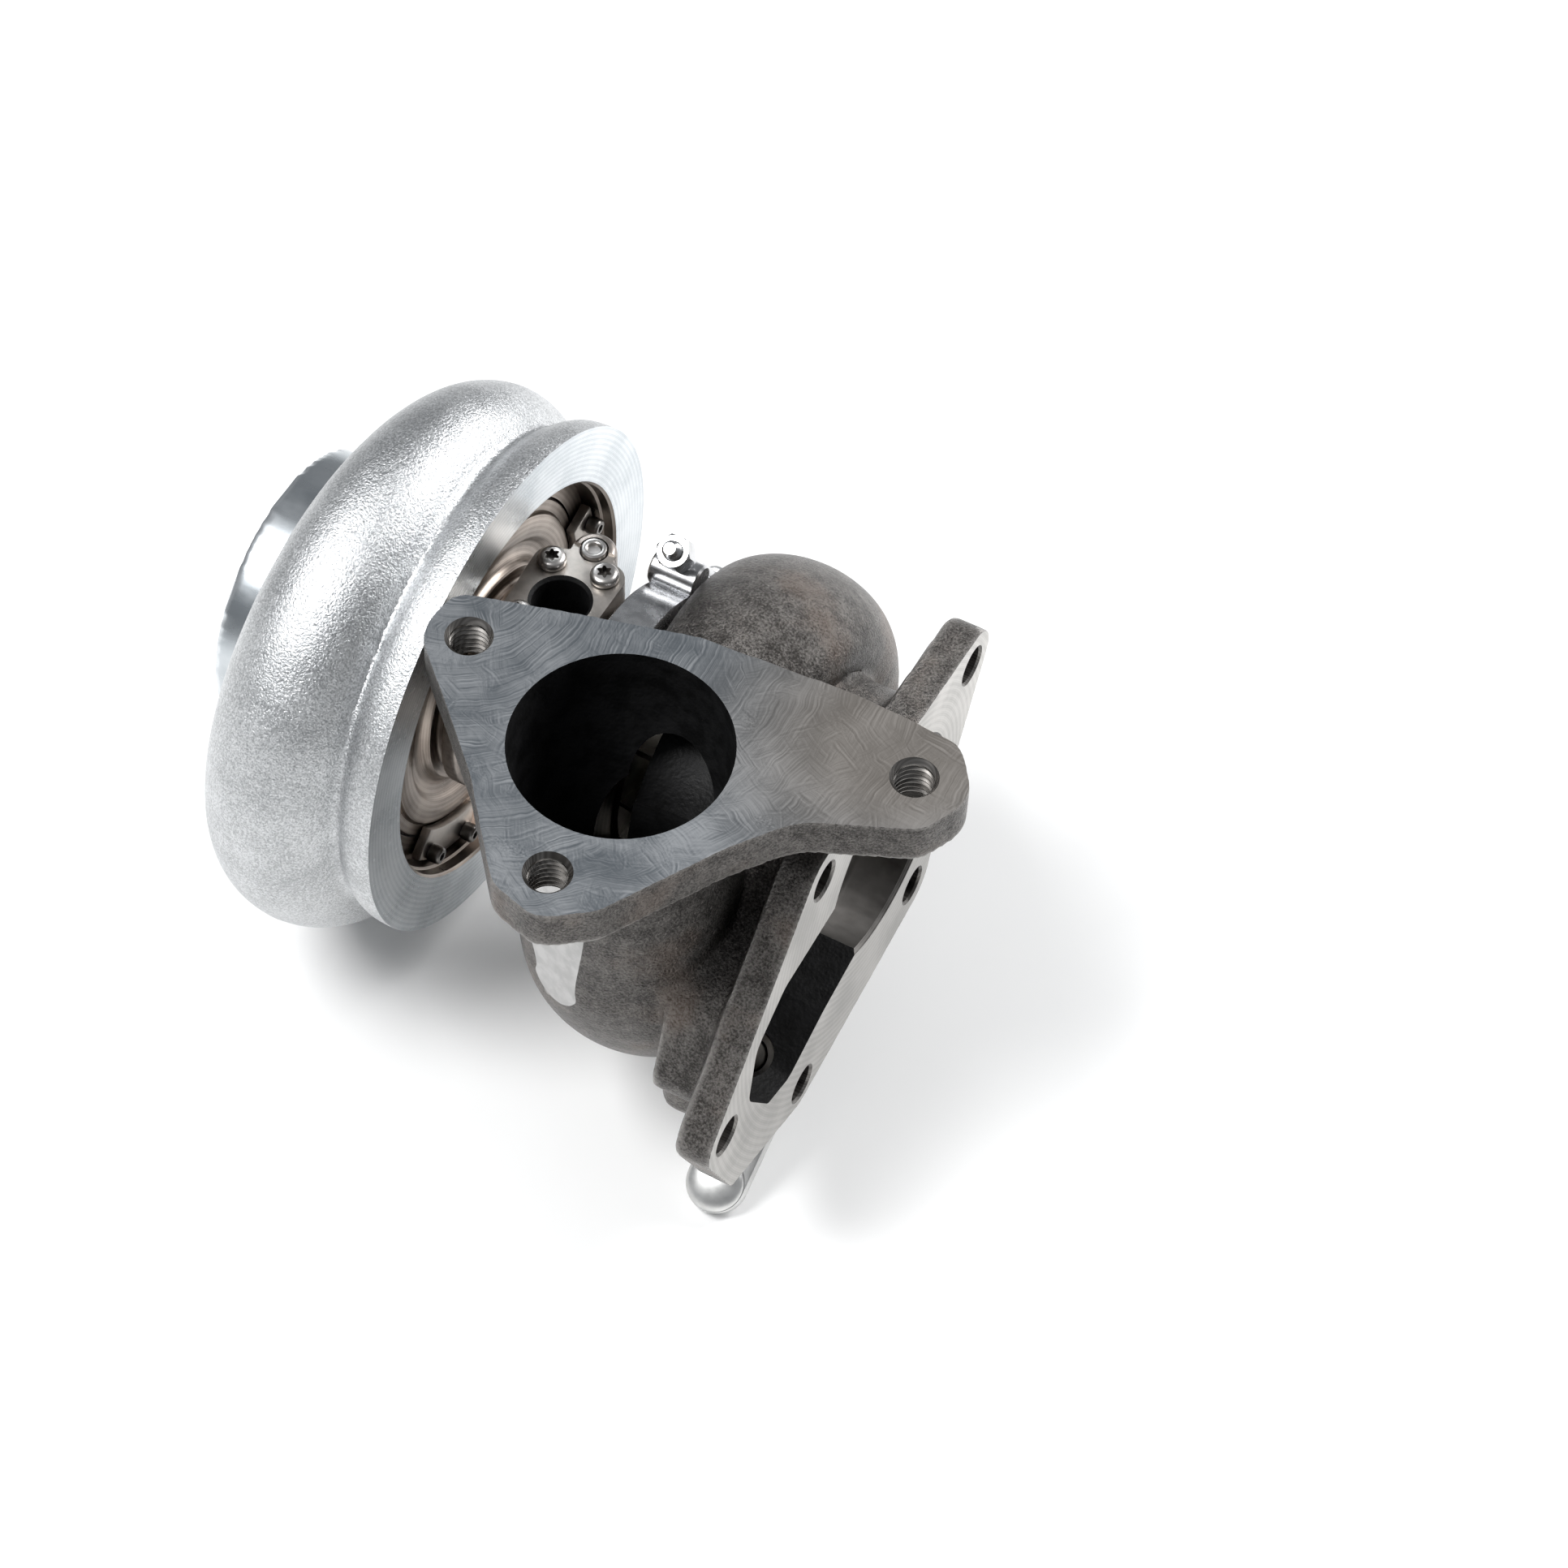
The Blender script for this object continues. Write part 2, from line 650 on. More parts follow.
# %% Machine the cover
EYE_R = 22.6
TIP_R = 28.8
throat = []
for k in range(9):
    t = k / 8 * math.pi / 2
    throat.append((-66.0 + 19.45 * math.sin(t), EYE_R + 1.0 + (TIP_R - EYE_R) * (1 - math.cos(t))))
lathe_cut = turned("lathe_cut", [
    (-97, 0), (-97, 46), (-84.5, 46), (-84.5, 35.0), (-89.2, 35.0), (INLET_END_X, 34.2),
    (INLET_END_X, 31.4), (-89.1, 30.5), (-82, 27.5), (-75, 24.2)] + throat + [
    (-46.3, 30.4), (-46.3, 47.5), (-42.0, 47.5), (-42.0, 43.4), (-38.0, 43.4), (-38.0, 49.0),
    (-33.4, 49.0), (-33.0, 49.6), (-30.6, 49.7), (RING_X, 50.3), (RING_X, 72), (-20, 72),
    (-20, 0)], TURNED, steps=144)
outlet_cut = turned("outlet_cut", [
    (-4, 0), (-4, 16.7), (70.8, 16.7), (OUTLET_Y, 17.9), (OUTLET_Y, 20.5),
    (OUTLET_Y - 0.8, 21.2), (61.5, 21.2), (60.5, 26), (80, 26), (80, 0)],
    TURNED, centre=outlet_axis, axis=Y, steps=64)
passage_cut = ruled_tube("passage_cut", snail(0.0, 0.10), rings=96, sides=32, finish=BLASTED)
machine(cover, lathe_cut, passage_cut, outlet_cut)

# %% [markdown]
# The hose slides on the inlet tube, so the tube is turned bright outside as well. The
# step inside the ring is stained brown by oil. Both finishes go on by place: a face's
# distance along the shaft and its radius say which it belongs to.

# %% Bright tube and stained step
TUBE = {"inside": 36.2, "left_of": -68.5}
STEP = {"inside": 50.0, "from": -42.5, "to": RING_X - 0.2}
cover.data.materials.append(BACKPLATE)
bright = cover.data.materials.find(TURNED.name)
stained = cover.data.materials.find(BACKPLATE.name)
for face in cover.data.polygons:
    spot = (face.center - ORIGIN) / MM
    radius = math.hypot(spot.y, spot.z)
    if radius < TUBE["inside"] and spot.x < TUBE["left_of"]:
        face.material_index = bright
    elif radius < STEP["inside"] and STEP["from"] < spot.x < STEP["to"]:
        face.material_index = stained
print("finishes on the cover:", [finish.name for finish in cover.data.materials])

# %% [markdown]
# Three curved plates hold the backplate in the cover, each with two socket screws. The
# tapped holes are drilled in the cover's step.

# %% Backplate clamps
PLATE_ANGLES = (-122.0, -2.0, 118.0)
SCREW_CIRCLE = 46.0


def round_shaft(radius, degrees, x=0.0):
    """A point at an angle round the shaft."""
    t = math.radians(degrees)
    return Vector((x, radius * math.cos(t), radius * math.sin(t)))


number = 0
for index, middle in enumerate(PLATE_ANGLES, start=1):
    outer = [round_shaft(48.3, middle - 16.5 + 3.0 * k) for k in range(12)]
    inner = [round_shaft(40.2, middle + 16.5 - 3.0 * k) for k in range(12)]
    outline = [(p.y, p.z) for p in outer + inner]
    clamp_plate = plate("clamp_plate", outline, (-37.4, 0, 0), Y, Z, (2.4, 0, 0),
                        HOUSING_CUT, edge=0.35)
    clamp_plate.name = f"clamp_plate_{index}_bright"
    for side in (-11.0, 11.0):
        number += 1
        spot = round_shaft(SCREW_CIRCLE, middle + side)
        machine(clamp_plate, rod("plate_hole", -40, -30, 1.8, HOUSING_CUT, centre=spot,
                                 steps=32))
        machine(cover, rod("screw_hole", -41, -34, 1.7, TURNED, centre=spot, steps=24))
        screw = turned("clamp_screw", [
            (-40.4, 0), (-40.4, 1.1), (-40.0, 1.4), (-34.7, 1.4), (-34.7, 2.1), (-34.4, 2.25),
            (-32.3, 2.25), (-31.9, 2.12), (-31.6, 1.8), (-31.6, 0)],
            DARK_STEEL, centre=spot, steps=32)
        socket = band_round([(spot.y, spot.z, 1.15)], sides=6)
        machine(screw, plate("hex_key", socket, (-33.2, 0, 0), Y, Z, (4, 0, 0), DARK_STEEL))
        screw.name = f"clamp_screw_{number}_socket_head"
        dress(screw, "housings", f"clamp_screw_{number}", slot="bright_steel")
    dress(clamp_plate, "housings", f"clamp_plate_{index}", slot="bright_steel")
dress(cover, "housings", "compressor_cover", slot="cast_aluminium")

# %% [markdown]
# The backplate closes the cover behind the wheel. It is turned in steps, with a deep
# groove that lightens it and a rounded lip round the middle. A rubber ring seals its
# rim and a small insert carries the shaft's seal.

# %% Backplate
backplate = turned("backplate_turned", [
    (-41.7, 14.4), (-41.7, 43.0), (-40.9, 43.0), (-40.9, 41.2), (-39.1, 41.2), (-39.1, 43.0),
    (-38.2, 43.0), (-37.8, 42.6), (-37.8, 40.0), (-37.5, 39.6), (-36.9, 39.3), (-36.6, 38.7),
    (-36.6, 34.0), (-36.9, 33.4), (-38.1, 32.4), (-38.4, 31.8), (-38.6, 30.4), (-38.5, 29.4),
    (-38.0, 28.5), (-37.2, 27.9), (-36.4, 27.5), (-36.0, 27.0), (-36.0, 24.6), (-35.7, 24.1),
    (-34.7, 23.5), (-34.2, 23.0), (-34.2, 14.4)],
    BACKPLATE, steps=128)
dress(backplate, "housings", "backplate", slot="housing_steel")
o_ring = turned("backplate_seal_ring", ring_of((-40.0, 42.1), 0.62, 12), RUBBER, steps=96)
dress(o_ring, "housings", "backplate_o_ring", slot="rubber")

# %% [markdown]
# The compressor wheel is milled from a solid bar. Its hub flares from the nut to the
# rim, six full blades start at the eye and six shorter ones start further in. One
# blade is a fine grid bent by a rule that gives its lean and sweep, thickened, and
# copied round the hub.

# %% Compressor wheel
BLADE_GRID = (16, 8)


def bladed(name, count, rule, thickness, finish, turn_first=0.0):
    """Bend one grid into a blade, thicken it and copy it round the shaft."""
    clear()
    bpy.ops.mesh.primitive_grid_add(x_subdivisions=BLADE_GRID[0], y_subdivisions=BLADE_GRID[1],
                                    size=1)
    sheet = bpy.context.active_object
    for point in sheet.data.vertices:
        x, radius, lean = rule(point.co.x + 0.5, point.co.y + 0.5)
        point.co = world((x, radius * math.cos(lean), radius * math.sin(lean)))
    apply(sheet, "SOLIDIFY", thickness=thickness * MM, offset=0.0)
    bpy.ops.object.mode_set(mode="EDIT")
    close_up()
    blade = settle(name, finish)
    blades = [blade]
    for k in range(count):
        turn = Quaternion(X, turn_first + 2 * math.pi * k / count)
        if k == 0:
            for point in blade.data.vertices:
                point.co = ORIGIN + turn @ (point.co - ORIGIN)
            continue
        copy = blade.copy()
        copy.data = blade.data.copy()
        bpy.context.scene.collection.objects.link(copy)
        turn = Quaternion(X, 2 * math.pi * k / count)
        for point in copy.data.vertices:
            point.co = ORIGIN + turn @ (point.co - ORIGIN)
        blades.append(copy)
    return blades


def compressor_blade(start):
    """Blade surface: `run` from the eye to the tip, `rise` from the hub to the shroud."""
    def rule(run, rise):
        t = start + (1.0 - start) * run
        s = t * math.pi / 2
        hub = Vector((-64.6 + 20.6 * math.sin(s), 6.0 + 22.2 * (1 - math.cos(s))))
        shroud = Vector((-66.0 + 19.2 * math.sin(s), EYE_R + (TIP_R - EYE_R) * (1 - math.cos(s))))
        spot = hub.lerp(shroud, rise)
        lean = 1.05 * (1 - t) ** 1.3 - 0.12 * rise * (1 - t)
        return spot.x, spot.y, lean
    return rule


hub = [(-67.6, 3.3), (-67.6, 5.0), (-67.3, 5.6), (-66.5, 6.3)]
for k in range(1, 13):
    s = k / 12 * math.pi / 2
    hub.append((-65.0 + 21.3 * math.sin(s), 6.6 + 21.9 * (1 - math.cos(s))))
hub += [(-43.3, 28.7), (-42.6, 28.7), (-42.5, 28.6), (-42.5, 3.3)]
wheel = turned("compressor_wheel_milled", hub, WHEEL, steps=96)
full = bladed("full_blade", 6, compressor_blade(0.0), 0.8, WHEEL)
short = bladed("short_blade", 6, compressor_blade(0.34), 0.8, WHEEL, turn_first=math.pi / 6)
pick(*full, *short, wheel)
bpy.ops.object.join()
dress(wheel, "rotor", "compressor_wheel", slot="machined_aluminium")


def hex_nut(name, across_corners, low, high, bore, finish, centre=(0, 0, 0), axis=X):
    """A hexagon turned down at both ends, bored and threaded."""
    right = side_of(axis)
    up = axis.cross(right)
    corner = band_round([(0, 0, across_corners / 2)], sides=6)
    body = plate(name, corner, Vector(centre) + axis * low, right, up, axis * (high - low), finish)
    r = across_corners / 2
    lathe = turned("nut_cone", [
        (low, 0), (low, r * 0.86), (low + 0.16 * r, r * 1.02), (high - 0.16 * r, r * 1.02),
        (high, r * 0.86), (high, 0)], finish, centre=centre, axis=axis, steps=64)
    machine(body, lathe, operation="INTERSECT")
    tap = [(low - 1, 0), (low - 1, bore)] + thread(low - 0.5, high + 0.5, bore + 0.3, 0.3, 0.8)
    machine(body, turned("tap", tap + [(high + 1, bore), (high + 1, 0)], finish, centre=centre,
                         axis=axis, steps=32))
    return body


nut = hex_nut("compressor_nut_flanked", 9.6, -72.4, -67.9, 3.05, STEEL)
dress(nut, "rotor", "compressor_nut", slot="bright_steel")

# %% [markdown]
# The turbine wheel is cast in one piece with its shaft. Eleven thick blades turn the
# gas from the rim to the outlet, where they lean back, and the hub ends in a boss that
# was ground away on one side to balance it.

# %% Turbine wheel and shaft
def turbine_blade(run, rise):
    """Blade surface: `run` from the rim to the outlet, `rise` from the hub outwards."""
    s = run * math.pi / 2
    hub = Vector((11.6 + 26.2 * (1 - math.cos(s)), 23.8 - 18.0 * math.sin(s)))
    shroud = Vector((18.8 + 19.2 * (1 - math.cos(s)), 25.2 - 3.0 * math.sin(s)))
    spot = hub.lerp(shroud, rise)
    return spot.x, spot.y, -0.85 * run ** 1.8 + 0.08 * rise * run


shaft = [(-72.9, 0), (-72.9, 2.2), (-72.5, 2.75)] + thread(-72.3, -68.0, 2.9, 0.35, 0.8) + [
    (-67.6, 3.0), (-26.0, 3.0), (-26.0, 3.9), (-25.0, 4.0), (-1.0, 4.0), (-1.0, 8.5),
    (1.2, 8.5), (1.2, 7.3), (2.9, 7.3), (2.9, 8.5), (8.0, 8.5), (10.0, 9.2), (10.0, 23.4),
    (10.3, 23.7)]
for k in range(13):
    s = k / 12 * math.pi / 2
    shaft.append((11.8 + 27.2 * (1 - math.cos(s)), 23.7 - 17.1 * math.sin(s)))
shaft += [(41.2, 6.5), (42.6, 6.1), (43.6, 5.4), (44.0, 4.4), (44.0, 0)]
rotor = turned("turbine_wheel_and_shaft", shaft, NICKEL, steps=96)
pick(*bladed("turbine_blade", 11, turbine_blade, 1.15, NICKEL), rotor)
bpy.ops.object.join()
dress(rotor, "rotor", "turbine_shaft_wheel", slot="nickel_alloy")

# %% [markdown]
# The bearing housing is a waisted steel casting. On its top is a flat pad with the
# oil drain, an ear with a pressed plug and three star-headed screws, and below is
# the boss for the oil feed. Its right-hand rim is tapered for the clamp.

# %% Bearing housing
PAD_Z = 34.0
DRAIN = (-18.0, 3.0)
PLUG = (-18.5, 19.5)
PAD_SCREWS = ((-25.3, 12.0), (-12.4, 13.5), (-24.2, -5.5))
pad_outline = band_round([(*DRAIN, 10.2)] + [(*p, 4.7) for p in PAD_SCREWS])
housing = cast("bearing_housing_casting", [
    turned("raw_waist", [
        (-33.4, 0), (-33.4, 26.8), (-29.5, 26.8), (-28.5, 25.6), (-27.5, 22.5), (-24, 21),
        (-14, 20.2), (-9, 20.8), (-7, 23), (-6.2, 27), (-5.6, 29.6), (-3.5, 32.8), (-0.2, 32.8),
        (-0.2, 0)], steps=96),
    plate("raw_pad", pad_outline, (0, 0, 12), X, Y, (0, 0, PAD_Z - 11.2)),
    turned("raw_ear", [(6, 0), (6, 5.4), (PAD_Z - 0.2, 5.4), (PAD_Z + 0.8, 4.6), (PAD_Z + 0.8, 0)],
           centre=(*PLUG, 0), axis=Z, steps=48),
    rod("raw_feed", -29.7, -10, 8.1, centre=(-16, 0, 0), axis=Z, steps=48),
], HOUSING, grain=0.6, smoothing=5)
machine(housing, turned("housing_lathe", [
    (-40, 0), (-40, 40), (-33.8, 40), (-33.8, 15.4), (-26.3, 15.4), (-26.3, 14.2), (-9, 14.2),
    (-9, 10.4), (-24, 10.4), (-25.4, 9.2), (-25.4, 6.6), (-7.6, 6.6), (-7.6, 8.9), (6, 8.9),
    (6, 0)],
    HOUSING_CUT, steps=96))
machine(housing, turned("rim_lathe", [
    (-5.7, 29.2), (-3.5, 32.2), (-0.7, 32.2), (-0.15, 31.7), (-0.15, 26), (3, 26), (3, 36),
    (-3.6, 36), (-6.4, 31.0)], HOUSING_CUT, steps=96))
web_outline = [(-22, -3.6), (-10, -3.6), (-10, 3.6), (-22, 3.6)]
machine(housing, plate("web", web_outline, (0, 0, -16.5), X, Y, (0, 0, 8), HOUSING),
        operation="UNION")
pad_cut = band_round([(*DRAIN, 14)] + [(*p, 7) for p in PAD_SCREWS])
machine(housing, plate("pad_face", pad_cut, (0, 0, PAD_Z), X, Y, (0, 0, 8), HOUSING_CUT))
machine(housing, turned("drain", [
    (12.2, 0), (12.2, 6.75), (PAD_Z - 0.8, 6.75), (PAD_Z, 7.5), (40, 7.5), (40, 0)], SOOT,
    centre=(*DRAIN, 0), axis=Z, steps=64))
feed = [(-8.6, 0), (-8.6, 2.2), (-22, 2.2), (-22, 4.7)]
feed += [(-z, radius) for z, radius in thread(22.3, 29.2, 5.1, 0.4, 1.0)]
feed += [(-40, 5.1), (-40, 0)]
machine(housing, turned("feed", feed, HOUSING_CUT, centre=(-16, 0, 0), axis=Z, steps=40))
machine(housing, rod("plug_seat", PAD_Z - 2.6, 40, 3.4, HOUSING_CUT, centre=(*PLUG, 0),
                     axis=Z, steps=40))

# %% [markdown]
# The star screws have a domed pan head with a six-lobed recess. The recess is drawn
# as a wavy circle and cut into the head.

# %% Pad screws and plug
def lobes(radius, depth, count=6, steps=60):
    """A wavy circle for a star key."""
    turns = [2 * math.pi * k / steps for k in range(steps)]
    return [((radius + depth * math.cos(count * t)) * math.cos(t),
             (radius + depth * math.cos(count * t)) * math.sin(t)) for t in turns]


for index, spot in enumerate(PAD_SCREWS, start=1):
    machine(housing, rod("pad_thread", PAD_Z - 9, 40, 2.0, HOUSING_CUT, centre=(*spot, 0),
                         axis=Z, steps=24))
    screw = turned("pad_screw", [
        (PAD_Z - 8, 0), (PAD_Z - 8, 1.4), (PAD_Z - 7.6, 1.7), (PAD_Z + 0.3, 1.7),
        (PAD_Z + 0.3, 3.1), (PAD_Z + 0.5, 3.35), (PAD_Z + 1.5, 3.4), (PAD_Z + 2.0, 3.2),
        (PAD_Z + 2.4, 2.8), (PAD_Z + 2.6, 2.2), (PAD_Z + 2.6, 0)], STEEL, centre=(*spot, 0),
        axis=Z, steps=48)
    star_key = plate("star_key", lobes(1.5, 0.32), (*spot, PAD_Z + 0.9), X, Y, (0, 0, 4),
                     DARK_STEEL)
    machine(screw, star_key)
    screw.name = f"pad_screw_{index}_star_head"
    dress(screw, "housings", f"pad_screw_{index}", slot="bright_steel")
dress(housing, "housings", "bearing_housing", slot="housing_steel")
plug = turned("pressed_plug_cup", [
    (PAD_Z - 2.3, 0), (PAD_Z - 2.3, 3.1), (PAD_Z + 0.6, 3.1), (PAD_Z + 1.0, 2.9),
    (PAD_Z + 1.1, 2.6), (PAD_Z + 1.1, 2.0), (PAD_Z + 0.9, 1.7), (PAD_Z + 0.2, 1.5),
    (PAD_Z + 0.1, 0)], STEEL,
    centre=(*PLUG, 0), axis=Z, steps=48)
dress(plug, "housings", "pressed_plug", slot="bright_steel")

# %% [markdown]
# The turbine housing carries three jobs in one casting: the triangular inlet flange,
# the tapering scroll that leads gas to the wheel, and the slanted outlet flange with
# its wastegate chamber. Gas enters down a duct that turns from round to oval.

# %% Turbine housing casting
INLET_TOP = 60.0
INLET = (23.5, -43.0)
INLET_HOLES = ((-19.7, -33.3), (26.4, -79.4), (82.2, -20.1))
OUTLET_X = 69.0
OUTLET_T = 9.0
SEAT_X = 52.0
SCROLL_X = 28.0
FLANGE_HOLES = ((40.0, 23.0), (-33.5, 29.0), (17.0, -36.0), (-38.5, -47.0), (-76.5, -15.5))


def scroll(extra, end):
    """The rule of the oval gas passage, `extra` mm outside its bore."""
    def rule(share, turn):
        f = 1.0 - (1.0 - end) * share
        half_height = (8.9 + 27.0 * f) / 2
        half_width = 21.0 * f ** 0.27
        swing = math.radians(180 + 360 * (1 - f))
        out = 30.0 + half_height + (half_height + extra) * math.sin(turn)
        x = SCROLL_X + (half_width + extra) * math.cos(turn)
        return x, out * math.cos(swing), out * math.sin(swing)
    return rule


def inlet_duct(extra, low, high):
    """The rule of the duct under the inlet flange."""
    def rule(share, turn):
        z = low + (high - low) * share
        s = min(1.0, max(0.0, z / (INLET_TOP - 8.0)))
        s = s * s * (3 - 2 * s)
        half_height = 17.95
        x = SCROLL_X + (INLET[0] - SCROLL_X) * s
        y = -47.95 + (INLET[1] + 47.95) * s
        across = 21.0 + 4.0 * s + extra
        deep = half_height + (25.0 - half_height) * s + extra
        return x + across * math.cos(turn), y + deep * math.sin(turn), z
    return rule


h1, h2, h3 = INLET_HOLES
inlet_corners = [
    (h1[0] - 9.7, h1[1] - 4.5), (h1[0] - 9.5, h1[1] + 9.0), (-2.0, -16.2), (24.0, -9.0),
    (62.0, -6.2), (h3[0] + 5.0, h3[1] + 12.6), (h3[0] + 13.5, h3[1] + 1.0),
    (h3[0] + 8.0, h3[1] - 11.5), (66.0, -42.5), (56.0, -56.0), (h2[0] + 14.0, h2[1] - 3.5),
    (h2[0] + 3.5, h2[1] - 11.5), (h2[0] - 9.0, h2[1] - 8.0), (-1.0, -65.0), (-14.0, -52.5)]
inlet_outline = ease_corners(inlet_corners, [9, 7, 20, 20, 20, 8, 9, 9, 18, 18, 9, 8, 8, 18, 18])
holes = [(Vector((0, y, z)).dot(ALONG), Vector((0, y, z)).dot(ACROSS)) for y, z in FLANGE_HOLES]
ears = [(p[0], p[1], radius) for p, radius in zip(holes[1:], (9.0, 9.0, 7.5, 8.5))]
ear_top = band_round([(0, 0, 35.4), (*holes[0], 8.9)], 72)
ear_low = band_round([(0, 0, 35.3)] + ears + [(-82.0, 4.0, 2.5)], 72)
chamber = band_round([(0, 0, 33.8), (-46, 26, 14.3), (-57, 2.5, 12.3), (-61, 20, 9.3)], 72)
spindle_point = on_flange(SPINDLE[1], 0, SPINDLE[0])
BOSS_END = -26.6

turbine = cast("turbine_housing_casting", [
    turned("raw_middle", [
        (0.0, 0), (0.0, 32.8), (3.5, 32.8), (5.6, 30.0), (9, 30.0), (12, 33), (44, 33),
        (50, 31.5), (60, 34), (64, 34.5), (64, 0)], steps=128),
    ruled_tube("raw_scroll", scroll(4.3, 0.07), rings=144, sides=56),
    ruled_tube("raw_duct", inlet_duct(4.1, -2.0, 50.0), rings=40, sides=64),
    plate("raw_inlet_flange", inlet_outline, (0, 0, INLET_TOP - 11.8), X, Y, (0, 0, 12.6)),
    plate("raw_chamber", chamber, (47, 0, 0), ALONG, ACROSS, (15, 0, 0)),
    turned("raw_column", [(-40, 0), (-40, 6.5), (-4, 6.5), (1, 5.6), (4.5, 3.2), (5.5, 0)],
           centre=(49.5, -57.0, 0), axis=Z, steps=48),
    plate("raw_flange_top", ear_top, (OUTLET_X - OUTLET_T, 0, 0),
          ALONG, ACROSS, (OUTLET_T + 0.8, 0, 0)),
    plate("raw_flange_low", ear_low, (OUTLET_X - OUTLET_T, 0, 0),
          ALONG, ACROSS, (OUTLET_T + 0.8, 0, 0)),
    rod("raw_spindle_boss", BOSS_END - 0.4, 4, 8.1, centre=spindle_point, axis=ACROSS, steps=48),
], IRON, grain=1.05, smoothing=4)

# %% [markdown]
# The cutters machine the two flange faces, a ground land on the side of the duct where
# the casting was held, the tapered rim for the clamp, the long turned bore, the gas
# passages and the pocket that the wastegate valve works in. The holes in both flanges come last.

# %% Machine the turbine housing
top_area = [(-60, -110), (120, -110), (120, 20), (-60, 20)]
top_cut = plate("top_face", top_area, (0, 0, INLET_TOP), X, Y, (0, 0, 8), SANDED)
face_area = [(0, 0, 38), (*holes[0], 11.5), (-82, 4, 6)] + [(x, y, r + 2.5) for x, y, r in ears]
outlet_cut = plate("outlet_face", band_round(face_area), (OUTLET_X, 0, 0), ALONG, ACROSS,
                   (8, 0, 0), OUTLET_FACE)
land_out = Vector((-0.25, -0.97, 0)).normalized()
land_foot = Vector((SCROLL_X, -47.95, 0)) + land_out * 21.6
land_area = [(-14, -40), (14, -40), (14, 47), (-14, 47)]
land_cut = plate("ground_land", land_area, land_foot, land_out.cross(Z), Z, land_out * 8, LAND)
bore_cut = turned("turbine_bore", [
    (-5, 0), (-5, 27), (10.6, 27), (11.2, 26.2), (11.2, 36.5), (18.4, 36.5), (18.8, 26.4),
    (20.5, 24.6), (25, 23.5), (32, 23), (40, 22.9), (58, 28), (OUTLET_X - 0.9, 28),
    (OUTLET_X, 28.9), (80, 28.9), (80, 0)],
    BORE, steps=128)
rim_cut = turned("turbine_rim", [
    (0.15, 25), (0.15, 31.7), (0.7, 32.2), (3.5, 32.2), (5.6, 29.6), (8.2, 29.6), (8.6, 30.2),
    (6.0, 32.6), (3.8, 36.6), (-3, 36.6), (-3, 25)], OUTLET_FACE, steps=128)
scroll_cut = ruled_tube("scroll_passage", scroll(0.0, 0.09), rings=96, sides=40, finish=SOOT)
duct_cut = ruled_tube("duct_passage", inlet_duct(-0.25, -1.5, 75.0),
                      rings=40, sides=64, finish=SOOT)
pocket_corners = [(-20, -16), (-40, -8.5), (-57, -4.5), (-64, 4), (-64.5, 22), (-53, 35),
                  (-38, 35),
                  (-12, 20), (0, 0)]
pocket = ease_corners(pocket_corners, [2, 6, 6, 4, 6, 8, 8, 2, 2])
pocket_cut = plate("pocket", pocket, (SEAT_X, 0, 0), ALONG, ACROSS, (30, 0, 0), SOOT)
port_cut = rod("port", 34, 60, 9, BORE, centre=on_flange(-38, 14), steps=48)
relief_cut = rod("lever_relief", -48, BOSS_END - 0.5, 9.2, IRON, centre=spindle_point,
                 axis=ACROSS, steps=48)
spindle_cut = rod("spindle_bore", -40, 0, 6.3, BORE, centre=spindle_point, axis=ACROSS, steps=48)
machine(turbine, top_cut, outlet_cut, land_cut, rim_cut, bore_cut, scroll_cut, duct_cut,
        pocket_cut, port_cut, relief_cut, spindle_cut)
for along, across in holes:
    hole = [(50, 0), (50, 4.6), (OUTLET_X - 0.6, 4.6), (OUTLET_X, 5.2), (80, 5.2), (80, 0)]
    machine(turbine, turned("flange_hole", hole, BORE, centre=on_flange(along, across), steps=48))
for x, y in INLET_HOLES:
    tapped = [(40, 0), (40, 4.3)] + thread(40.4, 58.4, 4.95, 0.55, 1.5) + [
        (58.8, 4.4), (INLET_TOP, 5.4), (80, 5.4), (80, 0)]
    machine(turbine, turned("tapped_hole", tapped, BORE, centre=(x, y, 0), axis=Z, steps=48))
dress(turbine, "housings", "turbine_housing", slot="cast_iron")

# %% [markdown]
# A vee clamp pulls the two tapered rims together. Each half is a bright pressed band
# with turned-in edges, spun through less than half a turn, with a round eye at its end
# for the T-bolt.

# %% Clamp
BOLT_R = 41.4
bolt_line = ALONG * BOLT_R
clamp_section = [
    (-6.6, 32.3), (-5.3, 35.6), (-4.9, 36.0), (4.9, 36.0), (5.3, 35.6), (6.6, 32.3),
    (5.7, 31.6), (3.9, 33.1), (3.2, 34.1), (-3.2, 34.1), (-3.9, 33.1), (-5.7, 31.6)]
lean = math.degrees(math.atan2(ALONG.z, ALONG.y))
zero = math.degrees(math.atan2(side_of(X).z, side_of(X).y))
for half, low, sign in (("upper", 14.0, 1), ("lower", 182.0, -1)):
    band = turned("clamp_band", clamp_section, CHROME, steps=72, angle=164.0,
                  start=lean - zero + low)
    eye = round_shaft(39.6, lean + sign * 17.0)
    lug = turned("clamp_eye", [(-6, 0), (-6, 3.9), (-5.5, 4.4), (5.5, 4.4), (6, 3.9), (6, 0)],
                 CHROME,
                 centre=eye, steps=48)
    machine(band, lug, operation="UNION")
    machine(band, rod("bolt_hole", -30, 30, 2.6, CHROME, centre=bolt_line + ACROSS * 9 * sign,
                      axis=ACROSS, steps=32))
    band.name = f"clamp_half_{half}_band"
    dress(band, "housings", f"clamp_half_{half}", slot="bright_steel")
